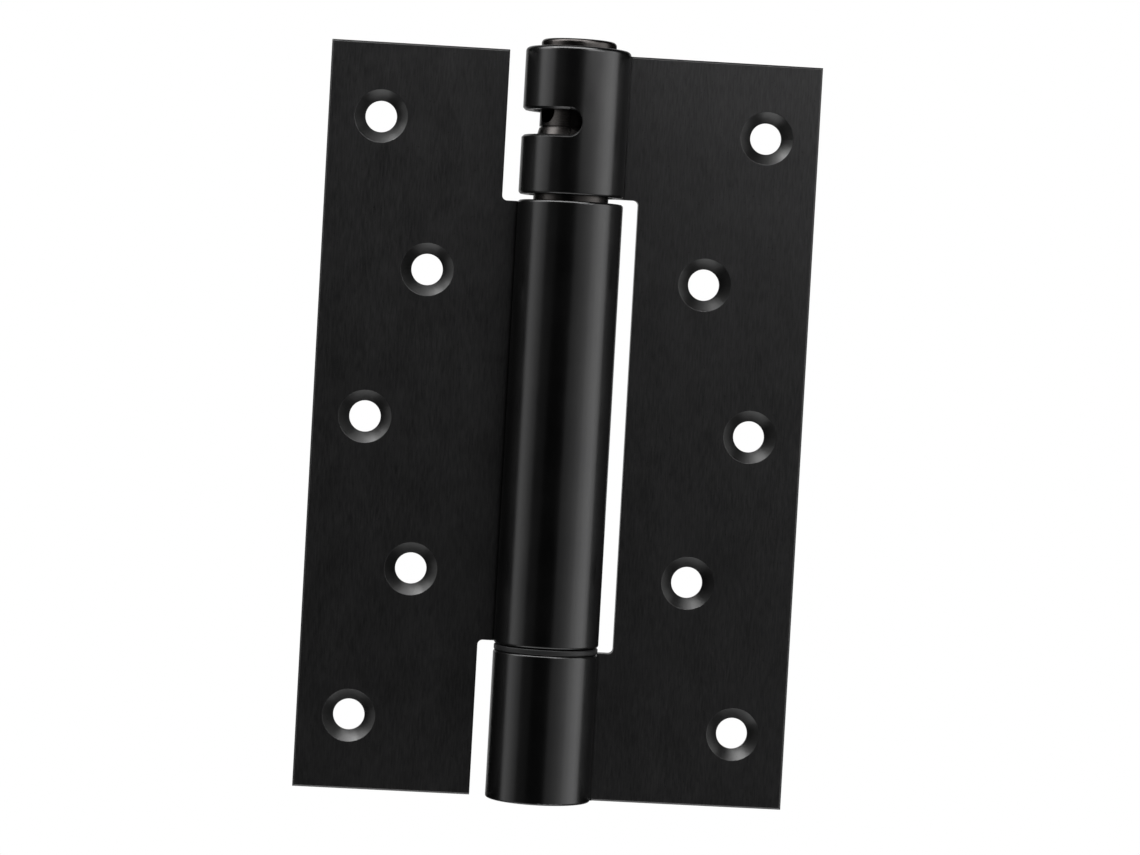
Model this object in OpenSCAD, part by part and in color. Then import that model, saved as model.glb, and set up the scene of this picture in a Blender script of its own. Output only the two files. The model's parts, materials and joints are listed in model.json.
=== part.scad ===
// Self-closing spring butt hinge, opened flat.
// Two stamped leaves are rolled into three knuckles round one vertical axis. The long centre
// knuckle holds a torsion spring. The core in the top knuckle winds it through the window.
// +Z runs up the pin axis and the countersunk faces look towards -Y. The origin is on the
// pin axis, halfway up the overall height. The door leaf reaches to -X, the frame leaf to +X.

/* [Leaves] */
// Height of both leaves
leaf_h = 152; // [120:1:200]
// Reach of one leaf from the pin axis to its outer edge
leaf_reach = 50; // [42:0.5:70]
// Sheet thickness of the leaves and of the knuckle walls
leaf_t = 3; // [2.5:0.1:3.5]
// Space between the two leaves when they are folded shut
closed_gap = 1.8; // [1:0.1:3]
// Room between a knuckle and the edge of the notch that clears it
notch_clear = 3.2; // [2:0.1:6]
// Radius in the inner corners of the notches
notch_r = 1; // [0.5:0.1:2]
// Chamfer on the outer edges of the leaves
edge_break = 0.35; // [0.2:0.05:0.6]

/* [Knuckles] */
// Outer diameter of the knuckles
knuckle_d = 21.4; // [19:0.1:26]
// Length of the top knuckle of the frame leaf
top_knuckle_h = 29.8; // [24:0.1:36]
// Height by which the top knuckle stands above the leaf's upper edge
top_knuckle_rise = 0.7; // [0:0.1:1]
// Length of the bottom knuckle of the frame leaf
bottom_knuckle_h = 30.2; // [26:0.1:36]
// Open space between the top knuckle and the barrel
top_gap = 1.2; // [1:0.1:3]
// Length by which each end of the barrel stands past the edge of its leaf's notch
barrel_proud = 0.3; // [0:0.1:0.8]
// Space between the barrel and the bottom knuckle, filled by the thrust washer
bottom_gap = 1.3; // [1:0.1:3]
// Rounding of the knuckle ends
knuckle_edge_r = 0.6; // [0.3:0.1:0.8]
// Rounding of the upper end of the top knuckle
crown_edge_r = 0.9; // [0.3:0.1:1.2]
// Rounding of the foot of the bottom knuckle
foot_edge_r = 0.4; // [0.3:0.1:1.4]
// Slit left where the rolled sheet closes against its own leaf
seam_gap = 0.25; // [0.2:0.05:0.4]
// Bend radius between a leaf's back face and its knuckle
swage_r = 1.8; // [1:0.1:3]

/* [Screw holes] */
// Diameter of the screw holes
hole_d = 6.4; // [4.5:0.1:7]
// Diameter of the 90 degree countersinks at the front face
countersink_d = 10.8; // [8:0.1:12]
// Distance of the end holes from the ends of the leaf
end_hole_inset = 15; // [10:0.5:22]
// Distance of the outer row of holes from the leaf's outer edge
outer_row_inset = 10.7; // [8:0.1:12]
// Distance of the inner row of holes from the leaf's outer edge
inner_row_inset = 21.7; // [19:0.1:24]

/* [Tension window] */
// Height of the window in the top knuckle
window_h = 5.1; // [4.4:0.1:8]
// Height of the window's middle above the foot of the top knuckle
window_rise = 14.5; // [12:0.1:16]
// Angle that the window takes out of the knuckle, on the side away from the leaf
window_sweep = 190; // [120:5:200]
// Chamfer round the outer rim of the window
window_break = 0.45; // [0.2:0.05:0.8]

/* [Tension core] */
// Height of the core's head above the leaves
core_head_h = 2.4; // [1.2:0.1:4]
// Rounding of the head's rim
core_head_r = 0.8; // [0.4:0.1:1]
// Length of the land below the head that runs in the top knuckle's bore
head_land_h = 6; // [3:0.5:7]
// Radial gap between the core's drilled waist and that bore
waist_clear = 0.5; // [0.3:0.05:0.8]
// Height to which the lower land tapers above the lower edge of the window
land_rise = 1.6; // [0.5:0.1:2]
// Diameter of the radial holes for the tension pin
pin_hole_d = 4.6; // [3:0.1:5]
// Height of the radial holes above the middle of the window
pin_hole_rise = 2.2; // [0:0.1:3]
// Number of radial holes round the core, drilled through in pairs
pin_holes = 4; // [2:2:4]
// Direction of the first radial hole at rest, counted from +X towards +Y
core_rest_angle = 212; // [190:1:240]
// Width of the hexagon socket across its flats
socket_af = 6; // [5:0.5:6]
// Depth of the hexagon socket
socket_depth = 8; // [5:0.5:10]
// Chamfer at the mouth of the socket
socket_break = 0.4; // [0.2:0.05:0.6]

/* [Journals and bushes] */
// Diameter of the two journals that run in the bushes
journal_d = 11; // [9:0.1:12]
// Length of the bush in the top of the barrel
upper_bush_h = 10; // [6:0.5:12]
// Depth of the upper bush inside the barrel's mouth
upper_bush_recess = 1.2; // [0.5:0.1:2]
// Length of the bush in the bottom knuckle
bottom_bush_h = 14; // [8:0.5:16]
// Radial gap of the running fits
running_gap = 0.06; // [0.03:0.01:0.08]
// Radial gap of the pressed fits
press_gap = 0.02; // [0.01:0.01:0.03]
// Play between faces that slide on each other
face_play = 0.15; // [0.1:0.05:0.3]
// Set-back of the thrust washer's rim from the outside of the knuckles
thrust_washer_inset = 0.1; // [0:0.05:0.5]
// Thickness of the plain washers behind the retaining rings
washer_t = 0.8; // [0.6:0.1:1]
// Thickness of the retaining rings
ring_t = 0.8; // [0.6:0.1:1]
// Depth of the retaining ring grooves
groove_depth = 0.55; // [0.4:0.05:0.8]
// Width of a retaining ring's band outside the journal
ring_band = 0.7; // [0.5:0.1:0.9]
// Radius of the lugs at the ends of a retaining ring
lug_r = 1; // [0.8:0.1:1.1]
// Diameter of the plier holes in the lugs
lug_hole_d = 0.9; // [0.6:0.1:1]
// Angle left open between the lugs
ring_opening = 60; // [40:5:90]

/* [Plugs] */
// Length of the anchor that is pressed into the foot of the barrel
anchor_h = 14; // [8:0.5:18]
// Thickness of the plug that closes the bottom knuckle
cap_t = 5; // [3:0.5:7]
// Depth of that plug inside the knuckle's foot
cap_recess = 0.4; // [0:0.1:1]

/* [Torsion spring] */
// Wire diameter
wire_d = 2.8; // [2:0.1:2.9]
// Least open space between neighbouring coils
coil_space = 0.4; // [0.2:0.05:2]
// Radial gap between the coils and the barrel's bore
coil_clear = 0.4; // [0.3:0.1:0.6]
// Bend radius of the tangs, at the middle of the wire
tang_bend_r = 2.2; // [2:0.1:2.3]
// Length of the half-round dogs that the tangs bear on
dog_h = 4.5; // [3.5:0.1:6]

/* [Hidden] */
$fn = 96;

cut = 1;                                  // how far a cutter runs past what it cuts
knuckle_r = knuckle_d / 2;
bore_r = knuckle_r - leaf_t;
leaf_front = closed_gap / 2;              // y of the countersunk face
leaf_back = leaf_front + leaf_t;          // y of the face that lies on the door or frame
notch_x = knuckle_r + notch_clear;
swage_y = leaf_back + swage_r;            // middle of the swage's bend
swage_x = sqrt(pow(knuckle_r + swage_r, 2) - pow(swage_y, 2));

// Heights, from the foot of the leaves up
leaf_bottom = -(leaf_h + core_head_h) / 2;
leaf_top = leaf_bottom + leaf_h;
leaf_mid = (leaf_bottom + leaf_top) / 2;
bottom_knuckle_top = leaf_bottom + bottom_knuckle_h;
barrel_bottom = bottom_knuckle_top + bottom_gap;
top_knuckle_bottom = leaf_top + top_knuckle_rise - top_knuckle_h;
barrel_top = top_knuckle_bottom - top_gap;
barrel_leaf_top = barrel_top - barrel_proud;  // edges of the door leaf's two notches
barrel_leaf_bottom = barrel_bottom + barrel_proud;
window_z = top_knuckle_bottom + window_rise;
window_low = window_z - window_h / 2;

// Fits on the pin axis
land_r = bore_r - running_gap;
waist_r = bore_r - waist_clear;
press_r = bore_r - press_gap;
journal_r = journal_d / 2;
bush_bore_r = journal_r + running_gap;
groove_r = journal_r - groove_depth;
washer_r = bore_r - coil_clear;
thrust_washer_r = knuckle_r - thrust_washer_inset;
thrust_clear = 0.3;                       // round the journal in the thrust washer's bore
thrust_bore_r = journal_r + thrust_clear;
core_top = leaf_top + core_head_h;
taper_top = window_low + land_rise;
line_size = 0.3;                          // width and depth of the line turned above the taper
upper_bush_top = barrel_top - upper_bush_recess;
core_shoulder = upper_bush_top + face_play;
core_washer_z = upper_bush_top - upper_bush_h - face_play - washer_t;
core_ring_z = core_washer_z - ring_t;
core_journal_end = core_ring_z - 2 * groove_depth;
anchor_washer_z = bottom_knuckle_top - bottom_bush_h - face_play - washer_t;
anchor_ring_z = anchor_washer_z - ring_t;
anchor_journal_end = anchor_ring_z - 2 * groove_depth;

// Torsion spring: its middle line, from the middle coil out to the upper tang
coil_r = bore_r - coil_clear - wire_d / 2;
dog_clear = 0.3;                          // between a dog and the coil round it
dog_r = min(journal_r, coil_r - wire_d / 2 - dog_clear);
tang_gap = 0.1;                           // between a tang and the dog that it bears on
tang_top = core_journal_end - dog_h / 2;
tang_bottom = barrel_bottom + anchor_h + dog_h / 2;
spring_mid = (tang_top + tang_bottom) / 2;
spring_turns = floor((tang_top - tang_bottom) / (wire_d + coil_space));
coil_pitch = (tang_top - tang_bottom) / spring_turns;
coil_steps = 16;                          // path points in one turn
wire_sides = 8;
bend_reach = sqrt(pow(coil_r - tang_bend_r, 2) - pow(tang_bend_r, 2));
bend_lead = atan2(tang_bend_r, bend_reach);   // angle by which the wire leaves the coil early
bend_steps = 8;
tang_short = 0.4;                         // how far a tang's end stays inside the dog's rim
tang_tail = dog_r - tang_short;           // how far a tang runs past the axis
tang_angle = 180 * spring_turns + bend_lead;  // direction of the upper tang, from the middle coil

function turned(p, a) = [p.x * cos(a) - p.y * sin(a), p.x * sin(a) + p.y * cos(a), p.z];
function coil_point(a) = [coil_r * cos(a), coil_r * sin(a), coil_pitch * a / 360];
function bend_point(a) = turned([bend_reach + tang_bend_r * cos(a), tang_bend_r * (sin(a) - 1),
                                 half_height], tang_angle);
half_height = coil_pitch * spring_turns / 2;
half_path = concat(
    [for (i = [0.5:1:coil_steps * spring_turns / 2 - 0.5]) coil_point(i * 360 / coil_steps)],
    [for (i = [0:bend_steps]) bend_point(-bend_lead + (90 + bend_lead) * i / bend_steps)],
    [turned([-tang_tail, 0, half_height], tang_angle)]);
last = len(half_path) - 1;
spring_path = concat([for (i = [last:-1:0]) [half_path[i].x, -half_path[i].y, -half_path[i].z]],
                     half_path);

// ---- shapes that repeat ----

// Section of a tube from r = inner to r = outer, with both outer corners rounded
module tube_section(inner, outer, h, low_r, high_r) {
    translate([inner, low_r]) square([outer - inner, h - low_r - high_r]);
    square_width = outer - inner - max(low_r, high_r);
    translate([inner, 0]) square([square_width, h]);
    translate([inner, 0]) square([outer - inner - low_r, h / 2]);
    translate([inner, h / 2]) square([outer - inner - high_r, h / 2]);
    translate([outer - low_r, low_r]) circle(low_r);
    translate([outer - high_r, h - high_r]) circle(high_r);
}

// Plain ring or sleeve standing on z
module sleeve(z, h, outer, inner) {
    translate([0, 0, z]) difference() {
        cylinder(r = outer, h = h);
        translate([0, 0, -cut]) cylinder(r = inner, h = h + 2 * cut);
    }
}

// Reverse bend that leads the back face of a leaf into the outside of its knuckle
module swage_section() {
    bend = [swage_x, swage_y];
    on_knuckle = knuckle_r / (knuckle_r + swage_r);
    in_wall = (knuckle_r - leaf_t / 2) / (knuckle_r + swage_r);
    difference() {
        polygon([bend * in_wall, bend * on_knuckle, bend, [swage_x, leaf_back - leaf_t / 2],
                 [knuckle_r - leaf_t / 2, leaf_back - leaf_t / 2]]);
        translate(bend) circle(swage_r);
    }
}

// One knuckle rolled from the leaf on its +X side. The sheet runs round the back, the far
// side and the front, and its end closes against the front face of the leaf.
module rolled_knuckle(z, h, low_r, high_r) {
    translate([0, 0, z]) difference() {
        rotate_extrude() tube_section(bore_r, knuckle_r, h, low_r, high_r);
        translate([bore_r - cut, leaf_front - seam_gap, -cut])
            cube([leaf_t + 2 * cut, seam_gap, h + 2 * cut]);
    }
}

// Reverse bend behind a knuckle, where its leaf reaches from z0 to z1
module swage(z0, z1) {
    end_inset = knuckle_edge_r / 2;
    translate([0, 0, z0 + end_inset]) linear_extrude(z1 - z0 - 2 * end_inset) swage_section();
}

// Flat sheet cut to the outline of its children, lying between the two faces of a leaf
module sheet() {
    translate([0, leaf_back, 0]) rotate([90, 0, 0]) linear_extrude(leaf_t) children();
}

// Full outline of a leaf from the middle of its knuckle walls to the outer edge
module leaf_blank() {
    blank_x = knuckle_r - leaf_t / 2;
    translate([blank_x, leaf_bottom]) square([leaf_reach - blank_x, leaf_h]);
}

// Opening beside a knuckle of the other leaf, with its inner corners rounded. A high_r or
// low_r of 0 leaves that end open past the leaf's edge.
module notch(z0, z1, low_r, high_r) {
    translate([-cut, z0 + low_r]) square([notch_x + cut, z1 - z0 - low_r - high_r]);
    translate([-cut, z0]) square([notch_x - notch_r + cut, z1 - z0]);
    if (low_r > 0) translate([notch_x - low_r, z0 + low_r]) circle(low_r);
    if (high_r > 0) translate([notch_x - high_r, z1 - high_r]) circle(high_r);
}

// Countersunk screw hole through a leaf
module screw_hole(x, z) {
    translate([x, 0, z]) rotate([-90, 0, 0]) {
        cylinder(d = hole_d, h = leaf_back + cut);
        translate([0, 0, leaf_front - cut])
            cylinder(d1 = countersink_d + 2 * cut, d2 = hole_d,
                     h = (countersink_d - hole_d) / 2 + cut);
    }
}

// Zig-zag of five holes: three in the outer row, two in the inner row
module screw_holes() {
    pitch = (leaf_h - 2 * end_hole_inset) / 4;
    for (i = [-2:2]) {
        inset = i % 2 == 0 ? outer_row_inset : inner_row_inset;
        screw_hole(leaf_reach - inset, leaf_mid + i * pitch);
    }
}

// Cutter that chamfers one straight edge along Z, for a body in x < 0 and y < 0
module edge_cutter(length) {
    linear_extrude(length, center = true)
        polygon([[-edge_break - cut, cut], [cut, -edge_break - cut], [cut, cut]]);
}

// Chamfers on the outer edge and on both end edges of a leaf, front and back
module leaf_edge_breaks() {
    end_length = leaf_reach + cut - swage_x;
    translate([0, (leaf_front + leaf_back) / 2, leaf_mid])
        for (face = [0, 1]) mirror([0, face, 0]) translate([0, leaf_t / 2, 0]) {
            translate([leaf_reach, 0, 0]) edge_cutter(leaf_h + 2 * cut);
            for (end = [0, 1])
                mirror([0, 0, end]) translate([swage_x + end_length / 2, 0, leaf_h / 2])
                    rotate([0, -90, 0]) edge_cutter(end_length);
        }
}

// Half of the window's outline, from its middle height to one edge, with the chamfer at the
// outer rim. Each point gives the distance from the pin axis, then the height.
function window_edge() = [
    [bore_r - cut, 0],
    [bore_r - cut, window_h / 2],
    [knuckle_r - window_break, window_h / 2],
    [knuckle_r + cut, window_h / 2 + window_break + cut],
    [knuckle_r + cut, 0]];

// Window through the front, the far side and the back of the top knuckle. Each end is the
// same outline turned about its own radial axis.
module tension_window() {
    half_sweep = window_sweep / 2 - asin(window_h / 2 / knuckle_r);
    end_section = [for (p = window_edge()) [p.y, p.x]];
    translate([0, 0, window_z]) {
        rotate([0, 0, 180 - half_sweep]) rotate_extrude(angle = 2 * half_sweep)
            for (side = [0, 1]) mirror([0, side]) polygon(window_edge());
        for (side = [0, 1])
            mirror([0, side, 0]) rotate([0, 0, 180 + half_sweep]) rotate([0, 90, 0])
                rotate_extrude(angle = 180) polygon(end_section);
    }
}

// Flat dog, half round, that a spring tang bears on. It stands on z = 0 and reaches up.
module dog() {
    intersection() {
        cylinder(r = dog_r, h = dog_h);
        translate([-dog_r, wire_d / 2 + tang_gap, 0]) cube([2 * dog_r, dog_r, dog_h]);
    }
}

// Groove in a journal for the retaining ring that lies on z
module ring_groove(z) {
    sleeve(z - face_play / 2, ring_t + face_play, journal_r + cut, groove_r);
}

// Retaining ring lying on z, open towards +X, with a drilled lug at each end
module retaining_ring(z) {
    lug_x = groove_r + press_gap + lug_r;
    lug_angle = ring_opening / 2 + asin(lug_r / lug_x);
    far = 2 * knuckle_r;
    translate([0, 0, z]) linear_extrude(ring_t) difference() {
        union() {
            circle(journal_r + ring_band);
            for (side = [-1, 1]) rotate(side * lug_angle) translate([lug_x, 0]) circle(lug_r);
        }
        circle(groove_r + press_gap);
        polygon([[0, 0], [far, -far * tan(ring_opening / 2)], [far, far * tan(ring_opening / 2)]]);
        for (side = [-1, 1])
            rotate(side * lug_angle) translate([lug_x, 0]) circle(d = lug_hole_d);
    }
}

// Round wire swept along a path that stays nearly level
module swept_wire(path) {
    n = len(path);
    ring_points = [for (i = [0:n - 1])
        let (ahead = path[min(i + 1, n - 1)] - path[max(i - 1, 0)],
             t = ahead / norm(ahead),
             side = cross([0, 0, 1], t) / norm(cross([0, 0, 1], t)),
             up = cross(t, side))
        for (k = [0:wire_sides - 1])
            let (a = 360 * (k + 0.5) / wire_sides)
            path[i] + wire_d / 2 * (cos(a) * side + sin(a) * up)];
    walls = [for (i = [0:n - 2]) for (k = [0:wire_sides - 1])
        let (k2 = (k + 1) % wire_sides)
        [i * wire_sides + k, (i + 1) * wire_sides + k, (i + 1) * wire_sides + k2,
         i * wire_sides + k2]];
    start_cap = [for (k = [0:wire_sides - 1]) k];
    end_cap = [for (k = [wire_sides - 1:-1:0]) (n - 1) * wire_sides + k];
    polyhedron(ring_points, concat([start_cap], walls, [end_cap]), convexity = 10);
}

// ---- frame side ----

// Fixed leaf with the top and bottom knuckles and the tension window
module frame_leaf() {
    color("#242426") difference() {
        union() {
            sheet() difference() {
                leaf_blank();
                notch(bottom_knuckle_top, top_knuckle_bottom, notch_r, notch_r);
            }
            rolled_knuckle(top_knuckle_bottom, top_knuckle_h, knuckle_edge_r, crown_edge_r);
            rolled_knuckle(leaf_bottom, bottom_knuckle_h, foot_edge_r, knuckle_edge_r);
            swage(top_knuckle_bottom, leaf_top);
            swage(leaf_bottom, bottom_knuckle_top);
        }
        screw_holes();
        leaf_edge_breaks();
        tension_window();
    }
}

// Plain bush pressed into the bottom knuckle
module bottom_bush() {
    color("#3a3a3c")
        sleeve(bottom_knuckle_top - bottom_bush_h, bottom_bush_h, press_r, bush_bore_r);
}

// Washer that carries the barrel on the bottom knuckle
module thrust_washer() {
    h = bottom_gap - face_play;
    edge_r = h / 4;
    color("#1b1b1b") translate([0, 0, bottom_knuckle_top])
        rotate_extrude() tube_section(thrust_bore_r, thrust_washer_r, h, edge_r, edge_r);
}

// Plug pressed into the foot of the bottom knuckle
module bottom_cap() {
    color("#1f1f20") translate([0, 0, leaf_bottom + cap_recess]) {
        translate([0, 0, edge_break]) cylinder(r = press_r, h = cap_t - edge_break);
        cylinder(r1 = press_r - edge_break, r2 = press_r, h = edge_break);
    }
}

// ---- door side ----

// Moving leaf with the long centre knuckle
module door_leaf() {
    color("#242426") mirror([1, 0, 0]) difference() {
        union() {
            sheet() difference() {
                leaf_blank();
                notch(barrel_leaf_top, leaf_top + cut, notch_r, 0);
                notch(leaf_bottom - cut, barrel_leaf_bottom, 0, notch_r);
            }
            rolled_knuckle(barrel_bottom, barrel_top - barrel_bottom, knuckle_edge_r,
                           knuckle_edge_r);
            swage(barrel_leaf_bottom, barrel_leaf_top);
        }
        screw_holes();
        leaf_edge_breaks();
    }
}

// Plain bush pressed into the mouth of the barrel
module upper_bush() {
    color("#3a3a3c")
        sleeve(upper_bush_top - upper_bush_h, upper_bush_h, press_r, bush_bore_r);
}

// Anchor pressed into the foot of the barrel: a dog for the spring above, a journal below
module spring_anchor() {
    color("#6d6d70") difference() {
        union() {
            translate([0, 0, barrel_bottom]) cylinder(r = press_r, h = anchor_h);
            translate([0, 0, anchor_journal_end])
                cylinder(r = journal_r, h = barrel_bottom - anchor_journal_end);
            translate([0, 0, barrel_bottom + anchor_h])
                rotate([0, 0, -tang_angle]) mirror([0, 1, 0]) dog();
        }
        ring_groove(anchor_ring_z);
    }
}

// Plain washer between the bottom bush and its retaining ring
module anchor_washer() {
    color("#77777a") sleeve(anchor_washer_z, washer_t, washer_r, bush_bore_r);
}

// Retaining ring on the anchor's journal
module anchor_ring() {
    color("#55555a") retaining_ring(anchor_ring_z);
}

// Right-hand torsion spring with a tang across each end
module torsion_spring() {
    color("#8a8a8c") translate([0, 0, spring_mid]) swept_wire(spring_path);
}

// ---- tension core ----

// Section of the core from its shoulder up: lower land with a tapered top, turned line,
// drilled waist, and the upper land that ends in the rounded head
module core_section() {
    head_land_z = leaf_top - head_land_h;
    difference() {
        union() {
            polygon([
                [0, core_shoulder],
                [land_r - edge_break, core_shoulder],
                [land_r, core_shoulder + edge_break],
                [land_r, window_low],
                [waist_r, taper_top],
                [0, taper_top]]);
            translate([0, window_low]) square([waist_r, leaf_top - window_low]);
            translate([0, head_land_z])
                tube_section(0, land_r, core_top - head_land_z, edge_break, core_head_r);
        }
        translate([waist_r - line_size, taper_top]) square([cut, line_size]);
    }
}

// Turned core: socket head, drilled waist between its lands, journal and dog
module tension_core() {
    socket_r = socket_af / 2 / cos(30);
    pin_hole_z = window_z + pin_hole_rise;
    color("#2b2b2d") difference() {
        union() {
            rotate_extrude() core_section();
            translate([0, 0, core_journal_end])
                cylinder(r = journal_r, h = core_shoulder - core_journal_end);
            translate([0, 0, core_journal_end]) rotate([0, 0, tang_angle])
                mirror([0, 0, 1]) dog();
        }
        for (i = [0:pin_holes / 2 - 1])
            translate([0, 0, pin_hole_z]) rotate([0, 0, core_rest_angle + i * 360 / pin_holes])
                rotate([0, 90, 0]) cylinder(d = pin_hole_d, h = 2 * knuckle_r, center = true);
        translate([0, 0, core_top - socket_depth])
            cylinder(r = socket_r, h = socket_depth + cut, $fn = 6);
        translate([0, 0, core_top - socket_break])
            cylinder(r1 = socket_r - socket_break, r2 = socket_r + socket_break,
                     h = 2 * socket_break);
        ring_groove(core_ring_z);
    }
}

// Plain washer between the upper bush and its retaining ring
module core_washer() {
    color("#77777a") sleeve(core_washer_z, washer_t, washer_r, bush_bore_r);
}

// Retaining ring on the core's journal
module core_ring() {
    color("#55555a") retaining_ring(core_ring_z);
}

frame_leaf();
bottom_bush();
thrust_washer();
bottom_cap();
door_leaf();
upper_bush();
spring_anchor();
anchor_washer();
anchor_ring();
torsion_spring();
tension_core();
core_washer();
core_ring();
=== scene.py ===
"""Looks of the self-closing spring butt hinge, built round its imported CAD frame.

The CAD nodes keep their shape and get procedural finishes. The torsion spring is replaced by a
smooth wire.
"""

import json
import math

import bmesh
import bpy
from mathutils import Matrix, Vector


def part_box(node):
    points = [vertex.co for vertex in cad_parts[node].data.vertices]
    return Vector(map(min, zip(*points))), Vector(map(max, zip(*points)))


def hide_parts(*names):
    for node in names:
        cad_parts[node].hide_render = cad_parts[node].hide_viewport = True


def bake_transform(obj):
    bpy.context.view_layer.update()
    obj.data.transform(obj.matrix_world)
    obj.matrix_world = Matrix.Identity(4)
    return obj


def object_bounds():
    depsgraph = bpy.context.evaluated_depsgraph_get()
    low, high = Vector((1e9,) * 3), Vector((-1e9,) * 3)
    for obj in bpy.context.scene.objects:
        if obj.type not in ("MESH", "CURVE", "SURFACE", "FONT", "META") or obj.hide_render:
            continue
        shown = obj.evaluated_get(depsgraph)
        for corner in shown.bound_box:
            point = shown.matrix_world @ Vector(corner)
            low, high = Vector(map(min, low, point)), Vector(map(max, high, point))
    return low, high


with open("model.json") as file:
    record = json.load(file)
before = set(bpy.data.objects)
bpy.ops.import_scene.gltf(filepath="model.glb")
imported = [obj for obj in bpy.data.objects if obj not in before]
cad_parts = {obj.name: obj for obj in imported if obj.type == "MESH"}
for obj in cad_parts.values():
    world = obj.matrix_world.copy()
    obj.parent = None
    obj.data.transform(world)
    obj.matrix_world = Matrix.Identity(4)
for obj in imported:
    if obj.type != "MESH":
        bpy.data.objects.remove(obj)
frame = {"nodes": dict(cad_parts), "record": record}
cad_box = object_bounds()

MM = 0.001
nodes = frame["nodes"]
scene = bpy.context.scene


# ---- node helpers ----

# Sockets of the Mix node, whose inputs and outputs share their names between data types.
MIX_FACTOR, MIX_VALUE_A, MIX_VALUE_B, MIX_COLOUR_A, MIX_COLOUR_B = 0, 2, 3, 6, 7
MIX_VALUE_OUT, MIX_COLOUR_OUT = 0, 2
BEVEL_SAMPLES = 6


def new_material(name):
    """An empty node material with its Principled shader and its output."""
    material = bpy.data.materials.new(name)
    material.use_nodes = True
    tree = material.node_tree
    tree.nodes.clear()
    shader = tree.nodes.new("ShaderNodeBsdfPrincipled")
    output = tree.nodes.new("ShaderNodeOutputMaterial")
    tree.links.new(shader.outputs["BSDF"], output.inputs["Surface"])
    return material, tree, shader


def add_node(tree, kind, inputs=(), **settings):
    """A node with its settings, and a value or an output socket for each named input."""
    node = tree.nodes.new(kind)
    for key, value in settings.items():
        setattr(node, key, value)
    for key, value in dict(inputs).items():
        if isinstance(value, bpy.types.NodeSocket):
            tree.links.new(value, node.inputs[key])
        else:
            node.inputs[key].default_value = value
    return node


def object_place(tree):
    """Object coordinates, which are the row frame's for every piece."""
    return add_node(tree, "ShaderNodeTexCoord").outputs["Object"]


def separate(tree, vector):
    """The X, Y and Z outputs of a vector."""
    return add_node(tree, "ShaderNodeSeparateXYZ", {0: vector}).outputs


def noise(tree, place, cell, detail=3.0, roughness=0.6):
    """Noise whose features have the size of cell, in metres along each axis of place."""
    mapped = add_node(tree, "ShaderNodeMapping",
                      {"Vector": place, "Scale": [1 / size for size in cell]})
    return add_node(tree, "ShaderNodeTexNoise",
                    {"Vector": mapped.outputs["Vector"], "Scale": 1.0, "Detail": detail,
                     "Roughness": roughness}).outputs["Fac"]


def map_range(tree, value, low, high, to_low, to_high):
    """Value moved from the range low to high into to_low to to_high, and kept inside it."""
    return add_node(tree, "ShaderNodeMapRange",
                    {"Value": value, "From Min": low, "From Max": high,
                     "To Min": to_low, "To Max": to_high}).outputs["Result"]


def math_node(tree, operation, a, b=0.0):
    return add_node(tree, "ShaderNodeMath", {0: a, 1: b}, operation=operation).outputs[0]


def mix_value(tree, factor, a, b):
    return add_node(tree, "ShaderNodeMix",
                    {MIX_FACTOR: factor, MIX_VALUE_A: a, MIX_VALUE_B: b}).outputs[MIX_VALUE_OUT]


def mix_colour(tree, factor, a, b):
    return add_node(tree, "ShaderNodeMix",
                    {MIX_FACTOR: factor, MIX_COLOUR_A: a, MIX_COLOUR_B: b},
                    data_type="RGBA").outputs[MIX_COLOUR_OUT]


def colour_ramp(tree, value, span, dark, light):
    """Colour that goes from dark to light as value goes over its span."""
    return mix_colour(tree, map_range(tree, value, *span, 0.0, 1.0), (*dark, 1), (*light, 1))


def rough_ramp(tree, value, span, middle, spread):
    """Roughness that goes spread below and above its middle as value goes over its span."""
    return map_range(tree, value, *span, middle - spread, middle + spread)


def pin_radius(tree, place):
    """Distance from the pin axis."""
    x, y, _ = separate(tree, place)
    flat = add_node(tree, "ShaderNodeCombineXYZ", {"X": x, "Y": y}).outputs[0]
    return add_node(tree, "ShaderNodeVectorMath", {0: flat}, operation="LENGTH").outputs["Value"]


def polar_place(tree):
    """Object coordinates of a turned piece as radius, arc length and height."""
    place = object_place(tree)
    x, y, z = separate(tree, place)
    arc = math_node(tree, "MULTIPLY", math_node(tree, "ARCTAN2", y, x), TURNED_RADIUS)
    return add_node(tree, "ShaderNodeCombineXYZ",
                    {"X": pin_radius(tree, place), "Y": arc, "Z": z}).outputs[0]


def rough_normal(tree, height, strength, depth, edge_radius):
    """Bump in height over edges that are softened by edge_radius."""
    soft = add_node(tree, "ShaderNodeBevel", {"Radius": edge_radius},
                    samples=BEVEL_SAMPLES).outputs[0]
    return add_node(tree, "ShaderNodeBump",
                    {"Strength": strength, "Distance": depth, "Height": height,
                     "Normal": soft}).outputs["Normal"]


def cube(side):
    """Noise cell with the same size along every axis."""
    return (side, side, side)


# ---- materials ----

TURNED_RADIUS = 7 * MM      # where the arc length of turned pieces is true
KNUCKLE_RADIUS = 10.8 * MM  # just outside the knuckles; the leaves' flats start beyond it
KNUCKLE_FADE = 0.5 * MM
BORE_RADIUS = 8.4 * MM      # just outside the knuckles' bores, which stay unrubbed
BORE_FADE = 0.4 * MM

# How far noise spreads about 0.5: the part of its range that a ramp uses.
WIDE_SPAN, NARROW_SPAN = (0.3, 0.7), (0.35, 0.65)
SUM_SPAN = (0.7, 1.3)       # of two noises added

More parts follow.
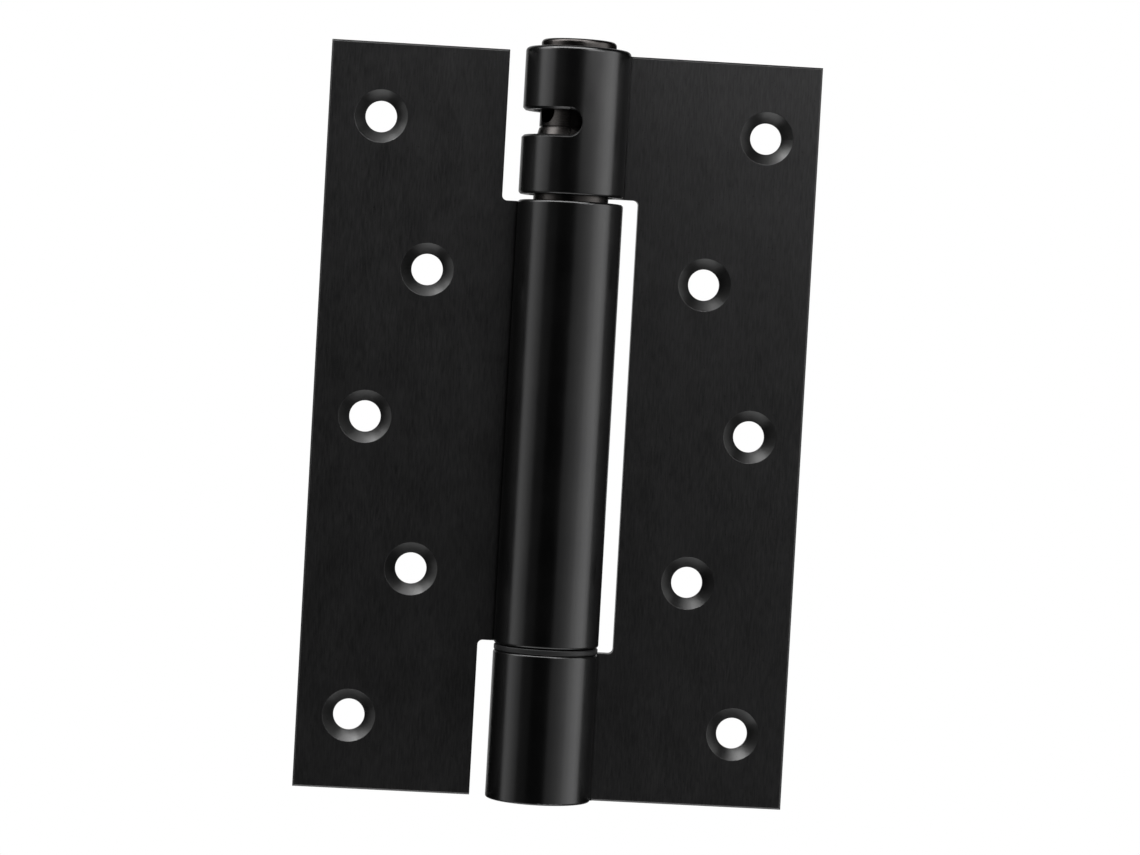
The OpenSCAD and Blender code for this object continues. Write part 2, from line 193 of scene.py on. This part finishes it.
FLAT_DARK, FLAT_LIGHT = (0.059, 0.059, 0.06), (0.08, 0.079, 0.08)
ROLLED_DARK, ROLLED_LIGHT = (0.095, 0.095, 0.096), (0.105, 0.105, 0.105)
CUT_COLOUR = (0.12, 0.12, 0.12, 1)
PIT_COLOUR = (0.02, 0.02, 0.02, 1)
PIT_SPAN, PIT_DEPTH = (0.7, 0.76), 0.35
FLAT_ROUGHNESS, ROLLED_ROUGHNESS, CUT_ROUGHNESS = 0.48, 0.24, 0.33
CUT_FACING = (0.9, 0.97)    # how squarely a face looks along Y, from a cut edge to a flat


def black_leaf_material():
    """Satin black over brushed sheet, smoother where it is rolled, cut or countersunk."""
    material, tree, shader = new_material("black_leaf")
    place = object_place(tree)
    grain = noise(tree, place, (0.28 * MM, 0.28 * MM, 2.6 * MM))
    fine = noise(tree, place, (0.1 * MM, 0.1 * MM, 0.5 * MM), detail=2.0)
    cloud = noise(tree, place, (7 * MM, 7 * MM, 12 * MM), detail=2.0)
    speck = noise(tree, place, cube(0.35 * MM), detail=1.0)

    radius = pin_radius(tree, place)
    knuckle_span = (KNUCKLE_RADIUS, KNUCKLE_RADIUS + KNUCKLE_FADE)
    rolled = math_node(tree, "MULTIPLY", map_range(tree, radius, *knuckle_span, 1.0, 0.0),
                       map_range(tree, radius, BORE_RADIUS, BORE_RADIUS + BORE_FADE, 0.0, 1.0))
    normal = add_node(tree, "ShaderNodeTexCoord").outputs["Normal"]
    facing = math_node(tree, "ABSOLUTE", separate(tree, normal)["Y"])
    cut = math_node(tree, "MULTIPLY", map_range(tree, facing, *CUT_FACING, 1.0, 0.0),
                    map_range(tree, radius, *knuckle_span, 0.0, 1.0))

    flat_colour = colour_ramp(tree, grain, WIDE_SPAN, FLAT_DARK, FLAT_LIGHT)
    rolled_colour = colour_ramp(tree, cloud, WIDE_SPAN, ROLLED_DARK, ROLLED_LIGHT)
    colour = mix_colour(tree, rolled, flat_colour, rolled_colour)
    colour = mix_colour(tree, cut, colour, CUT_COLOUR)
    pits = map_range(tree, speck, *PIT_SPAN, 0.0, PIT_DEPTH)
    tree.links.new(mix_colour(tree, pits, colour, PIT_COLOUR), shader.inputs["Base Color"])
    shader.inputs["Metallic"].default_value = 1.0

    flat_rough = rough_ramp(tree, math_node(tree, "ADD", grain, cloud), SUM_SPAN,
                            FLAT_ROUGHNESS, 0.05)
    rolled_rough = rough_ramp(tree, math_node(tree, "ADD", fine, cloud), SUM_SPAN,
                              ROLLED_ROUGHNESS, 0.03)
    sheet_rough = mix_value(tree, rolled, flat_rough, rolled_rough)
    tree.links.new(mix_value(tree, cut, sheet_rough, CUT_ROUGHNESS), shader.inputs["Roughness"])

    height = math_node(tree, "ADD", grain, math_node(tree, "MULTIPLY", fine, 0.3))
    tree.links.new(rough_normal(tree, height, strength=0.25, depth=0.008 * MM,
                                edge_radius=0.15 * MM), shader.inputs["Normal"])
    return material


def turned_material(name, dark, light, roughness):
    """Turned steel with fine tool rings round the pin axis."""
    material, tree, shader = new_material(name)
    rings = noise(tree, polar_place(tree), (0.12 * MM, 12 * MM, 0.12 * MM))
    cloud = noise(tree, object_place(tree), cube(3 * MM), detail=2.0)
    both = mix_value(tree, 0.4, rings, cloud)
    shader.inputs["Metallic"].default_value = 1.0
    tree.links.new(colour_ramp(tree, both, NARROW_SPAN, dark, light),
                   shader.inputs["Base Color"])
    tree.links.new(rough_ramp(tree, both, NARROW_SPAN, roughness, 0.05),
                   shader.inputs["Roughness"])
    tree.links.new(rough_normal(tree, rings, strength=0.3, depth=0.01 * MM,
                                edge_radius=0.2 * MM), shader.inputs["Normal"])
    return material


def acetal_material(name, dark, light, roughness):
    """Moulded black acetal with a faint matt texture."""
    material, tree, shader = new_material(name)
    place = object_place(tree)
    matt = noise(tree, place, cube(0.15 * MM))
    cloud = noise(tree, place, cube(4 * MM), detail=2.0)
    both = mix_value(tree, 0.5, matt, cloud)
    tree.links.new(colour_ramp(tree, both, NARROW_SPAN, dark, light),
                   shader.inputs["Base Color"])
    tree.links.new(rough_ramp(tree, both, NARROW_SPAN, roughness, 0.06),
                   shader.inputs["Roughness"])
    tree.links.new(rough_normal(tree, matt, strength=0.2, depth=0.01 * MM,
                                edge_radius=0.12 * MM), shader.inputs["Normal"])
    return material


def spring_material():
    """Oil-tempered wire: grey brown, with drawing marks and a few darker oxide patches."""
    material, tree, shader = new_material("spring_steel")
    drawn = noise(tree, polar_place(tree), (0.12 * MM, 3 * MM, 0.12 * MM))
    oxide = noise(tree, object_place(tree), cube(1.6 * MM))
    shader.inputs["Metallic"].default_value = 1.0
    colour = colour_ramp(tree, drawn, WIDE_SPAN, (0.17, 0.16, 0.155), (0.23, 0.22, 0.215))
    patches = map_range(tree, oxide, 0.5, 0.65, 0.0, 0.6)
    tree.links.new(mix_colour(tree, patches, colour, (0.09, 0.075, 0.065, 1)),
                   shader.inputs["Base Color"])
    tree.links.new(map_range(tree, oxide, *NARROW_SPAN, 0.28, 0.45), shader.inputs["Roughness"])
    tree.links.new(rough_normal(tree, drawn, strength=0.25, depth=0.01 * MM,
                                edge_radius=0.05 * MM), shader.inputs["Normal"])
    return material


materials = {
    "black_leaf": black_leaf_material(),
    "black_turned": turned_material("black_turned", dark=(0.085, 0.079, 0.076),
                                    light=(0.115, 0.107, 0.103), roughness=0.26),
    "bush": acetal_material("bush", dark=(0.042, 0.042, 0.044), light=(0.06, 0.06, 0.061),
                            roughness=0.5),
    "washer_black": acetal_material("washer_black", dark=(0.026, 0.026, 0.027),
                                    light=(0.038, 0.038, 0.038), roughness=0.42),
    "bare_steel": turned_material("bare_steel", dark=(0.32, 0.315, 0.31),
                                  light=(0.41, 0.405, 0.4), roughness=0.3),
    "spring_steel": spring_material(),
}
for part in frame["record"]["subparts"]:
    slots = nodes[part["node"]].data.materials
    slots.clear()
    slots.append(materials[part["material_slot"]])


# ---- torsion spring ----

WELD_DISTANCE = 0.001 * MM
FLATTEST_JOIN, SQUAREST_JOIN = math.radians(20), math.radians(60)
WIRE_REGAIN = 0.137 * MM    # what smoothing takes off the wire's radius


def smooth_spring():
    """Round wire smoothed from the CAD spring."""
    bm = bmesh.new()
    bm.from_mesh(nodes["torsion_spring"].data)
    bmesh.ops.remove_doubles(bm, verts=bm.verts, dist=WELD_DISTANCE)
    bmesh.ops.join_triangles(bm, faces=bm.faces, angle_face_threshold=FLATTEST_JOIN,
                             angle_shape_threshold=SQUAREST_JOIN)
    mesh = bpy.data.meshes.new("spring_wire")
    bm.to_mesh(mesh)
    bm.free()
    if "custom_normal" in mesh.attributes:
        mesh.attributes.remove(mesh.attributes["custom_normal"])
    mesh.shade_smooth()

    wire = bpy.data.objects.new("spring_wire", mesh)
    scene.collection.objects.link(wire)
    smooth = wire.modifiers.new("smooth", "SUBSURF")
    smooth.levels = smooth.render_levels = 1
    regain = wire.modifiers.new("regain", "DISPLACE")
    regain.strength, regain.mid_level = WIRE_REGAIN, 0.0
    bpy.context.view_layer.update()
    final = bpy.data.meshes.new_from_object(
        wire.evaluated_get(bpy.context.evaluated_depsgraph_get()))
    wire.modifiers.clear()
    wire.data = final
    final.materials.clear()
    final.materials.append(materials["spring_steel"])

    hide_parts("torsion_spring")
    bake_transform(wire)


smooth_spring()


# ---- stage ----

WHITE = (1, 1, 1, 1)
FLOOR_DROP = 0.25
FLOOR_SIZE = 40.0
FLOOR_GREY = (0.5, 0.5, 0.5, 1)     # what the lights see of the white floor
FILL = 0.01                         # strength of the world's light


def by_ray(tree, seen, unseen):
    """Shader that is seen for camera rays and unseen for all others."""
    path = add_node(tree, "ShaderNodeLightPath")
    mix = add_node(tree, "ShaderNodeMixShader", {0: path.outputs["Is Camera Ray"]})
    tree.links.new(unseen.outputs[0], mix.inputs[1])
    tree.links.new(seen.outputs[0], mix.inputs[2])
    return mix


def make_floor():
    bm = bmesh.new()
    bmesh.ops.create_grid(bm, x_segments=1, y_segments=1, size=FLOOR_SIZE / 2)
    mesh = bpy.data.meshes.new("floor")
    bm.to_mesh(mesh)
    bm.free()
    floor = bpy.data.objects.new("floor", mesh)
    scene.collection.objects.link(floor)
    floor.location.z = cad_box[0].z - FLOOR_DROP
    material = bpy.data.materials.new("floor_white")
    material.use_nodes = True
    tree = material.node_tree
    tree.nodes.clear()
    seen = add_node(tree, "ShaderNodeEmission", {"Color": WHITE})
    unseen = add_node(tree, "ShaderNodeBsdfDiffuse", {"Color": FLOOR_GREY})
    output = add_node(tree, "ShaderNodeOutputMaterial")
    tree.links.new(by_ray(tree, seen, unseen).outputs[0], output.inputs["Surface"])
    floor.data.materials.append(material)


def make_world():
    world = bpy.data.worlds.new("studio")
    world.use_nodes = True
    tree = world.node_tree
    tree.nodes.clear()
    seen = add_node(tree, "ShaderNodeBackground", {"Color": WHITE, "Strength": 1.0})
    unseen = add_node(tree, "ShaderNodeBackground", {"Color": WHITE, "Strength": FILL})
    output = add_node(tree, "ShaderNodeOutputWorld")
    tree.links.new(by_ray(tree, seen, unseen).outputs[0], output.inputs["Surface"])
    scene.world = world


def direction(azimuth, elevation):
    """Unit vector towards a place round the hinge. Azimuth 0 is in front, 90 on the right."""
    return Vector((math.sin(azimuth) * math.cos(elevation),
                   -math.cos(azimuth) * math.cos(elevation), math.sin(elevation)))


def make_light(name, azimuth, elevation, distance, size, power):
    """Soft box aimed at the middle of the hinge, with its place in degrees and metres."""
    way = direction(math.radians(azimuth), math.radians(elevation))
    data = bpy.data.lights.new(name, "AREA")
    data.shape = "RECTANGLE"
    data.size, data.size_y = size
    data.energy = power
    light = bpy.data.objects.new(name, data)
    light.location = way * distance
    light.rotation_mode = "QUATERNION"
    light.rotation_quaternion = way.to_track_quat("Z", "Y")
    light.visible_camera = False
    scene.collection.objects.link(light)


# Each soft box has its name, azimuth, elevation, distance, width and height, and power.
LIGHTS = (
    # tall ones that give the knuckles and barrel their upright bands
    ("left_back", -84, 0, 0.7, (0.16, 1.0), 0.32),
    ("left_mid", -72, 0, 0.7, (0.147, 1.0), 0.20),
    ("left_front", -60, 0, 0.7, (0.147, 1.0), 0.11),
    ("left_wide", -40, 0, 0.7, (0.25, 1.0), 0.03),
    ("front_right", 18, 0, 0.7, (0.17, 1.0), 0.085),
    ("right_a", 32, 0, 0.7, (0.16, 1.0), 0.12),
    ("right_b", 45, 0, 0.7, (0.16, 1.0), 0.19),
    ("right_c", 58, 0, 0.7, (0.172, 1.0), 0.38),
    ("right_d", 72, 0, 0.7, (0.184, 1.0), 0.57),
    ("right_e", 86, 0, 0.7, (0.197, 1.0), 0.58),
    # for the tops of the leaves, the window and the countersinks
    ("left_top", -75, 25, 0.4, (0.3, 0.2), 0.05),
    ("right_top", 75, 25, 0.4, (0.3, 0.2), 0.03),
    ("near_top", 34, 34, 0.26, (0.14, 0.07), 0.075),
    ("below", 0, -80, 0.25, (0.32, 0.16), 0.16),
    ("left_over", -18, 68, 0.3, (0.36, 0.13), 0.6),
    # behind, for views of the back
    ("back_left", -165, 14, 0.8, (0.4, 0.8), 0.45),
    ("back_right", 168, 22, 0.8, (0.35, 0.8), 0.4),
    # high on the left, for the lower right of the countersinks
    ("left_high", -84, 45, 0.4, (0.2, 0.25), 0.34),
)

# The camera stands a little above the middle of the leaves and looks slightly down.
CAMERA_DISTANCE = 0.72
CAMERA_AZIMUTH, CAMERA_ELEVATION, CAMERA_ROLL = -2.88, 1.63, 3.21
CAMERA_SHIFT = (2.44 * MM, -0.11 * MM)  # to the right and up, from the middle of the leaf
LENS, SENSOR_WIDTH = 111.75, 36.0
CLIP_START, CLIP_END = 0.1, 100.0


def make_camera():
    azimuth, elevation, roll = (math.radians(v) for v in
                                (CAMERA_AZIMUTH, CAMERA_ELEVATION, CAMERA_ROLL))
    back = direction(azimuth, elevation)
    right = (-back).cross(Vector((0, 0, 1))).normalized()
    up = right.cross(-back)
    right, up = (right * math.cos(roll) + up * math.sin(roll),
                 up * math.cos(roll) - right * math.sin(roll))
    leaf_low, leaf_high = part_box("door_leaf")
    target = Vector((0, 0, (leaf_low[2] + leaf_high[2]) / 2))
    data = bpy.data.cameras.new("camera")
    data.sensor_width = SENSOR_WIDTH
    data.lens = LENS
    data.clip_start, data.clip_end = CLIP_START, CLIP_END
    camera = bpy.data.objects.new("camera", data)
    camera.matrix_world = Matrix((right, up, back)).transposed().to_4x4()
    shift_right, shift_up = CAMERA_SHIFT
    camera.location = target + back * CAMERA_DISTANCE + right * shift_right + up * shift_up
    scene.collection.objects.link(camera)
    scene.camera = camera


make_floor()
make_world()
for light in LIGHTS:
    make_light(*light)
make_camera()
scene.view_settings.view_transform = "Standard"
